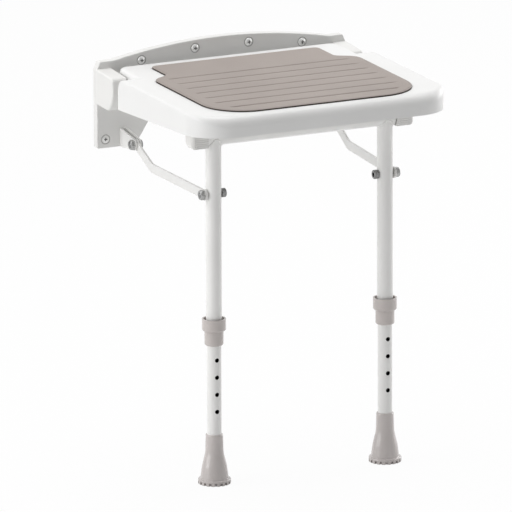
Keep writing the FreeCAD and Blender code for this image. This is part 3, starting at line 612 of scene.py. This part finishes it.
def from_leg_axis(place):
    """Distance from the nearer leg's axis."""
    x, y = abs(place.along("X")) - leg_x, place.along("Y") - leg_y
    return (x * x + y * y).maths_of("SQRT")


def inside_leg(place):
    """1 within the lower tube, under the bar, where the bore gets painted shade, and 0 on every
    coated face.
    """
    outside = from_leg_axis(place).step(bore_radius - 0.0001, bore_radius + 0.0001)
    at_bar = place.along("Z").step(bar_z - 0.020, bar_z - 0.019)
    return (1.0 - outside) * (1.0 - at_bar)


tube_coat = powder_coat(
    "tube powder coat", (0.90, 0.895, 0.88), (0.855, 0.85, 0.835), 0.32, dark=inside_leg,
)
dress(
    tube_coat, "white_paint", "crossbar", "upper_leg_right", "upper_leg_left",
    "lower_leg_right", "lower_leg_left",
)


def weld_bead(side):
    """A rippled bead along the joint of two crossed tubes.

    Seen along the leg the joint is the leg's circle. Its height is the bar's axis less the
    bar's own circle over the point, where it has one. The bead is a ring round that path, and
    its radius swells and shrinks along it in short rounded ripples.
    """
    turn = np.linspace(0.0, 2 * math.pi, 277)[:, None]
    roll = np.linspace(0.0, 2 * math.pi, 13)[None, :]
    swell = bead_radius * (0.88 + 0.12 * np.abs(np.sin(turn * bead_ripples / 2)))
    drop = np.sqrt(np.clip(bar_radius ** 2 - (tube_radius * np.sin(turn)) ** 2, 2e-6, None))
    reach = tube_radius + swell * np.cos(roll)
    return np.dstack([
        side * (leg_x + reach * np.cos(turn)),
        leg_y + reach * np.sin(turn),
        bar_z - drop + swell * np.sin(roll),
    ])


weld = skin("weld_beads", weld_bead(1), weld_bead(-1))
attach(weld, "leg_frame")
weld.data.materials.append(tube_coat)


# Lock springs and collars: a bent spring steel strip in each leg pushes a button through both
# tubes, and closes up as the leg slides. A collar of moulded plastic is pressed over the upper
# tube's end, with a cup round the button.

spring_steel = zinc_plate("spring steel", (0.60, 0.60, 0.61), (0.45, 0.45, 0.46))
strip_half, strip_thick = 0.0035, 0.0008
strip_reach = 0.00838            # leg's axis to the strip's outer face, and radius of its bend
button_radius, button_edge = 0.00305, 0.0012
button_under = 0.008             # strip's upper ends down to the button
button_angles = np.linspace(0.0, 2 * math.pi, 37)


def bent_strip(side, low, top):
    """The strip's section, four corners to a row, carried down the front, round and up the back.

    A point lies at its radius from the bend's middle, towards the angle that runs through a
    half turn. The first and last rows are lifted straight up, and closed on their middle.
    """
    angle = np.concatenate([[0.0], np.linspace(0.0, math.pi, 33), [math.pi]])[:, None]
    lift = np.zeros_like(angle)
    lift[[0, -1]] = top - low - strip_reach
    across = np.array([-1.0, 1.0, 1.0, -1.0, -1.0]) * strip_half
    radius = strip_reach - np.array([0.0, 0.0, 1.0, 1.0, 0.0]) * strip_thick
    rows = np.dstack([
        side * leg_x + across + 0.0 * angle,
        leg_y - radius * np.cos(angle),
        low + strip_reach - radius * np.sin(angle) + lift,
    ])
    ends = rows[[0, -1], :4].mean(axis=1)[:, None, None, :] + np.zeros((2, 1, 5, 3))
    return np.vstack([ends[0], rows, ends[1]])


def lock_button(side, tip, z):
    """A round button with a rolled nose, turned about Y, from its tip to within the strip."""
    roll = np.linspace(0.0, math.pi / 2, 7)[:, None]
    depth = leg_y - strip_reach + strip_thick / 2 - tip
    nose = button_radius - button_edge * (1.0 - np.sin(roll))
    reach = np.vstack([0.0, button_edge * (1.0 - np.cos(roll)), depth, depth])
    radius = np.vstack([0.0, nose, button_radius, 0.0])
    return turned((side * leg_x, tip, z), (0.0, 1.0, 0.0), reach, radius, button_angles)


for side, hand in ((1, "right"), (-1, "left")):
    spring_low, spring_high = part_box("lock_spring_" + hand)
    button_z = spring_high.z - button_under
    spring = skin(
        "button_spring_" + hand, bent_strip(side, spring_low.z, spring_high.z),
        lock_button(side, spring_low.y, button_z), sharp=40,
    )
    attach(spring, "lower_leg_" + hand)
    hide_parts("lock_spring_" + hand)
    spring.data.materials.append(spring_steel)
    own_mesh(spring)

collar_plastic = moulded(
    "collar plastic", (0.58, 0.53, 0.51), (0.525, 0.48, 0.46), 0.38, 2100.0, 0.00005, coat=0.9,
)
dress(collar_plastic, "taupe_plastic", "leg_collar_right", "leg_collar_left")


# Feet: rubber ferrules pushed over the lower tubes, with a steel disc under the tube's end so that
# it doesn't cut through. The rim is notched and the sole has ring-shaped treads.

sole = -0.528
tread_pitch = 0.0024


def sole_treads(place):
    """Rings about the leg's axis, on the sole only: a sine wave cut off flat at both ends."""
    wave = (from_leg_axis(place) * (2 * math.pi / tread_pitch)).maths_of("SINE").step(-0.5, 0.1)
    return wave.larger(place.along("Z").step(sole + 0.0001, sole + 0.0003))


# The sole's treads get painted shade between them, darker in each groove.
foot_rubber = moulded(
    "foot rubber", (0.58, 0.535, 0.52), (0.52, 0.48, 0.465), 0.42, 1700.0, 0.00008,
    coat=0.9, ribs=sole_treads,
)
dress(foot_rubber, "taupe_rubber", "foot_right", "foot_left")
dress(zinc, "zinc", "foot_disc_right", "foot_disc_left")


# Struts and wall brackets: each strut is a flat bar, cranked in its width and set inwards to meet
# the leg. Bracket and strut have the same coat as the plate, and thin plastic washers between.

steel_coat = powder_coat("strut powder coat", (0.81, 0.805, 0.79), (0.765, 0.76, 0.745), 0.34)
dress(steel_coat, "white_paint", "strut_right", "strut_left", "clevis_right", "clevis_left")
dress(bush, "bush_plastic", "clevis_washers", "leg_washers")


# Pivot bolts and nuts: cap screws of darker steel, with a hexagon socket and a knurled head at the
# legs and a plain low head at the brackets. A zinc plated hexagon nut closes each one, and the
# thread stands just past it.

bolt_angles = np.linspace(0.0, 2 * math.pi, 145)
bolt_crest, bolt_root, bolt_tip = 0.004, 0.00338, 0.0028     # radii
bolt_pitch = 0.00125
bolt_thread, bolt_run = 0.008, 0.0071        # threaded end, and the full thread on it
head_radius, head_edge, socket_half = 0.0065, 0.0013, 0.003
knurl_count, knurl_deep, knurl_rise = 36, 0.00028, 0.0011


def cap_screw(side, y, z, head_face, height, end, knurled):
    """A cap screw from its socket's floor, over the head, to the end of its thread.

    The socket's radius is half its width over the cosine of the angle from the nearest flat's
    middle. The knurl is the product of two waves that climb opposite ways round the head.
    """
    flat = (bolt_angles + math.pi / 6) % (math.pi / 3) - math.pi / 6
    hexagon = socket_half / np.cos(flat)
    quarter = np.linspace(0.0, math.pi / 2, 7)[:, None]
    side_reach = np.linspace(head_edge, height - 0.0003, 22 if knurled else 4)[:, None]
    climb = (side_reach - head_edge) / knurl_rise * math.pi
    lean = knurl_count / 2 * bolt_angles
    wave = np.abs(np.sin(lean + climb) * np.sin(lean - climb))
    knurl = head_radius - (knurl_deep * (1.0 - np.sqrt(wave)) if knurled else 0.0 * wave)
    start = height + end - head_face - bolt_thread
    along, groove = thread(bolt_run, bolt_pitch, bolt_crest, bolt_root, bolt_angles)
    rows = [
        (height * 0.66, 0.0),                # the socket's floor and its six sides
        (height * 0.62, hexagon * 0.97),
        (height * 0.58, hexagon),
        (0.0003, hexagon),
        (0.0, hexagon + 0.0003),             # the head's face and rolled edge
        (0.0, head_radius - head_edge - 0.0002),
        (head_edge * (1.0 - np.cos(quarter)), head_radius - head_edge * (1.0 - np.sin(quarter))),
        (side_reach, knurl),                 # its side, and back in under it
        (height, head_radius - 0.0003),
        (height, bolt_crest),
        (start, bolt_crest),                 # the shank, the thread and its chamfered tip
        (start + along, groove),
        (start + 0.0072, 0.0034),
        (start + bolt_thread, bolt_tip),
        (start + bolt_thread, 0.0),
    ]
    level = 0.0 * bolt_angles
    reach = np.vstack([level + far for far, _ in rows])
    radius = np.vstack([level + (0.0 * far + wide) for far, wide in rows])
    return turned((side * (head_face - height), y, z), (side, 0.0, 0.0), reach, radius, bolt_angles)


bolt_steel = zinc_plate("bolt steel", (0.30, 0.30, 0.30), (0.20, 0.20, 0.20), 0.24)
leg_low, leg_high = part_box("leg_bolts")
bracket_low, bracket_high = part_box("clevis_bolts")
leg_size = dict(
    y=(leg_low.y + leg_high.y) / 2, z=(leg_low.z + leg_high.z) / 2, end=leg_high.x,
    head_face=0.12225, height=0.007, knurled=True,
)
bracket_size = dict(
    y=(bracket_low.y + bracket_high.y) / 2, z=(bracket_low.z + bracket_high.z) / 2,
    end=bracket_high.x, head_face=0.15065, height=0.003, knurled=False,
)
for name, node, body, size in (
    ("leg_cap_screws", "leg_bolts", "leg_frame", leg_size),
    ("bracket_cap_screws", "clevis_bolts", "wall_mount", bracket_size),
):
    bolts = skin(name, cap_screw(1, **size), cap_screw(-1, **size), sharp=40)
    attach(bolts, body)
    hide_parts(node)
    bolts.data.materials.append(bolt_steel)

nut_zinc = zinc_plate("nut zinc", (0.47, 0.47, 0.465), (0.33, 0.33, 0.325), 0.28)
dress(nut_zinc, "zinc", "leg_nuts", "clevis_nuts")


# Room: a white sweep under and behind the seat, an even sky that is graded like a studio's
# walls, and large soft lamps. Camera and gloss see the white of the sweep itself.

def lamp(name, place, aim, size, power):
    """A square area lamp at place, turned to aim."""
    data = bpy.data.lights.new(name, "AREA")
    data.shape = "SQUARE"
    data.size = size
    data.energy = power
    made = bpy.data.objects.new(name, data)
    bpy.context.scene.collection.objects.link(made)
    made.location = place
    made.rotation_mode = "QUATERNION"
    made.rotation_quaternion = (Vector(aim) - Vector(place)).to_track_quat("-Z", "Y")


middle = (0.0, -0.15, -0.2)
lamp("key", (-2.6, 0.2, 2.2), middle, 1.8, 26.0)
lamp("top", (0.3, 0.4, 3.2), middle, 2.2, 43.0)
lamp("left", (-3.2, -0.1, 0.1), middle, 2.0, 41.0)
lamp("right", (2.8, 0.5, 0.5), middle, 2.0, 36.0)
lamp("front", (1.6, -3.2, 0.4), middle, 2.0, 7.0)


def ray_seen(tree):
    """1 for a ray from the camera, from a gloss or through glass, and 0 for all other light."""
    path = tree.nodes.new("ShaderNodeLightPath")
    camera, gloss, through = (
        Tone(tree, path.outputs[f"Is {kind} Ray"]) for kind in ("Camera", "Glossy", "Transmission")
    )
    return camera.larger(gloss).larger(through)


sweep = 30.0                     # half the floor's width
ground = bpy.data.meshes.new("floor")
floor_corners = [(x * sweep, y * sweep, sole) for x, y in ((-1, -1), (1, -1), (1, 1), (-1, 1))]
ground.from_pydata(floor_corners, [], [(0, 1, 2, 3)])
floor = bpy.data.objects.new("floor", ground)
bpy.context.scene.collection.objects.link(floor)
paper = bpy.data.materials.new("paper")
paper.use_nodes = True
tree = paper.node_tree
tree.nodes.clear()
seen = ray_seen(tree)
white = seen.node("ShaderNodeEmission", {"Color": (1, 1, 1, 1), "Strength": 1.0})
matt = seen.node("ShaderNodeBsdfDiffuse", {"Color": (0.8, 0.8, 0.8, 1)})
mixed = seen.node("ShaderNodeMixShader", {0: seen * 0.95, 1: matt, 2: white})
result = tree.nodes.new("ShaderNodeOutputMaterial")
tree.links.new(mixed.socket, result.inputs[0])
ground.materials.append(paper)

world = bpy.data.worlds.new("studio")
bpy.context.scene.world = world
world.use_nodes = True
sky = world.node_tree
sky.nodes.clear()
seen = ray_seen(sky)
heading = seen.node("ShaderNodeTexCoord", out="Generated")
north, height = (heading.along(axis) for axis in "YZ")
even = 0.03 + 0.61 * height.step(0.1, 1.0) + 0.42 * north.step(0.1, 1.0)
backdrop = 1.0 - 0.55 * (0.0 - north).step(0.1, 0.9)
strength = seen * backdrop + (1.0 - seen) * even
light = seen.node("ShaderNodeBackground", {"Color": (1, 1, 1, 1), "Strength": strength})
result = sky.nodes.new("ShaderNodeOutputWorld")
sky.links.new(light.socket, result.inputs[0])


# Camera: a long lens, a little to the left of the seat and above it.

azimuth, elevation, roll = (math.radians(angle) for angle in (-25.191, 14.643, -0.163))
lens_pixels = 13541.7            # focal length, in the picture's own pixels
picture_pixels = 512
distance = 19.2778
slide_right, slide_up = 0.04758, -0.160473
looked_at = Vector((0.0, -0.012, -0.107))
back = Vector((
    math.sin(azimuth) * math.cos(elevation),
    -math.cos(azimuth) * math.cos(elevation),
    math.sin(elevation),
))
right = Vector((math.cos(azimuth), math.sin(azimuth), 0.0))
up = back.cross(right)
data = bpy.data.cameras.new("camera")
data.sensor_width = 36.0
data.lens = lens_pixels / picture_pixels * data.sensor_width
data.clip_start = 1.0
data.clip_end = 100.0
camera = bpy.data.objects.new("camera", data)
bpy.context.scene.collection.objects.link(camera)
across = right * math.cos(roll) + up * math.sin(roll)
upward = up * math.cos(roll) - right * math.sin(roll)
turn = Matrix((across, upward, back)).transposed()
camera.rotation_mode = "QUATERNION"
camera.rotation_quaternion = turn.to_quaternion()
camera.location = looked_at + right * slide_right + up * slide_up + back * distance
bpy.context.scene.camera = camera
bpy.context.scene.view_settings.view_transform = "Standard"
